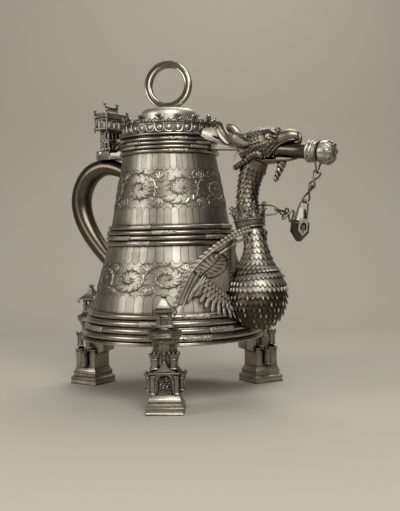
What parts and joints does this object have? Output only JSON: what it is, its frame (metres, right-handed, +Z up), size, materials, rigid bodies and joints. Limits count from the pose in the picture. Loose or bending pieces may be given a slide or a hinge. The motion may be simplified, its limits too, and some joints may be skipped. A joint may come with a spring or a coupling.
{
  "type": "covered wine carafe",
  "caption": "Tall covered metal wine carafe: ribbed conical vessel on gate-tower feet, dragon-neck spout with chained stopper and padlock, hinged crested lid with ring.",
  "frame": {"origin": "middle of the footprint on the table, under the vessel, 33.5 mm from the vessel's own axis towards the spout", "axes": "+X towards the spout, -X towards the handle, +Z up; symmetric about the XZ plane apart from the turned lid ring"},
  "size_m": [0.3826, 0.2838, 0.4145],
  "materials": {
    "raised_silver": "raised and engraved silver, warm toned, worn",
    "band_silver": "drawn and polished silver moulding with stippled sleeves",
    "cast_silver": "cast and chased silver, dark in its hollows",
    "chain_silver": "drawn wire and filed lock, tarnished"
  },
  "bodies": {
    "vessel": {"vessel_wall": "raised_silver", "base_plate": "raised_silver", "base_band": "band_silver", "middle_band": "band_silver", "rim_band": "band_silver", "foot_1_plinth": "cast_silver", "foot_1_gatehouse": "cast_silver", "foot_1_tower": "cast_silver", "foot_1_roof": "cast_silver", "foot_2_plinth": "cast_silver", "foot_2_gatehouse": "cast_silver", "foot_2_tower": "cast_silver", "foot_2_roof": "cast_silver", "foot_3_plinth": "cast_silver", "foot_3_gatehouse": "cast_silver", "foot_3_tower": "cast_silver", "foot_3_roof": "cast_silver", "handle": "raised_silver", "hinge_bracket": "cast_silver", "hinge_pin": "chain_silver", "dragon_body": "cast_silver", "dragon_neck": "cast_silver", "dragon_head": "cast_silver", "crown_collar": "cast_silver", "lower_jaw": "cast_silver", "beard": "cast_silver", "near_ear": "cast_silver", "near_eye": "chain_silver", "far_ear": "cast_silver", "far_eye": "chain_silver", "rim_bracket": "cast_silver", "near_wing": "cast_silver", "far_wing": "cast_silver", "pouring_pipe": "raised_silver", "collar_staple": "chain_silver"},
    "lid": {"tower_shaft": "cast_silver", "tower_gallery": "cast_silver", "thumb_bar": "cast_silver", "lid_plate": "raised_silver", "lid_crest": "cast_silver", "lid_boss": "raised_silver"},
    "ring": {"lid_ring": "raised_silver"},
    "stopper": {"spout_stopper": "raised_silver"},
    "strap": {"stopper_strap": "chain_silver"},
    "upper_link": {"stopper_link_1": "chain_silver"},
    "lower_link": {"stopper_link_2": "chain_silver"},
    "padlock": {"padlock_shackle": "chain_silver", "padlock_body": "chain_silver"},
    "collar_link": {"collar_link_1": "chain_silver"},
    "end_link": {"collar_link_2": "chain_silver"}
  },
  "joints": [
    {"name": "lid_hinge", "type": "hinge", "parent": "vessel", "child": "lid", "pos_m": [-0.13053, 0, 0.304], "axis": [0, -1, 0], "range_deg": [0, 85]},
    {"name": "ring_turn", "type": "hinge", "parent": "lid", "child": "ring", "pos_m": [-0.03353, 0, 0.354], "axis": [0, 0, 1], "continuous": true},
    {"name": "stopper_pull", "type": "slide", "parent": "vessel", "child": "stopper", "axis": [0.9925, 0, -0.1219], "range_m": [0, 0.022]},
    {"name": "strap_turn", "type": "hinge", "parent": "stopper", "child": "strap", "pos_m": [0.17037, 0, 0.28788], "axis": [0.9925, 0, -0.1219], "range_deg": [-35, 35]},
    {"name": "upper_link_swing", "type": "hinge", "parent": "strap", "child": "upper_link", "pos_m": [0.16742, 0, 0.26386], "axis": [0, 1, 0], "range_deg": [-20, 0]},
    {"name": "lower_link_swing", "type": "hinge", "parent": "upper_link", "child": "lower_link", "pos_m": [0.1602, 0, 0.24893], "axis": [0.9002, 0, -0.4355], "range_deg": [-20, 20]},
    {"name": "padlock_swing", "type": "hinge", "parent": "lower_link", "child": "padlock", "pos_m": [0.15071, 0, 0.22932], "axis": [0, -1, 0], "range_deg": [0, 20]},
    {"name": "collar_link_swing", "type": "hinge", "parent": "vessel", "child": "collar_link", "pos_m": [0.11747, 0, 0.223], "axis": [0, 0, 1], "range_deg": [-15, 15]},
    {"name": "end_link_lift", "type": "hinge", "parent": "collar_link", "child": "end_link", "pos_m": [0.12629, 0, 0.2195], "axis": [0, -1, 0], "range_deg": [0, 25]}
  ]
}
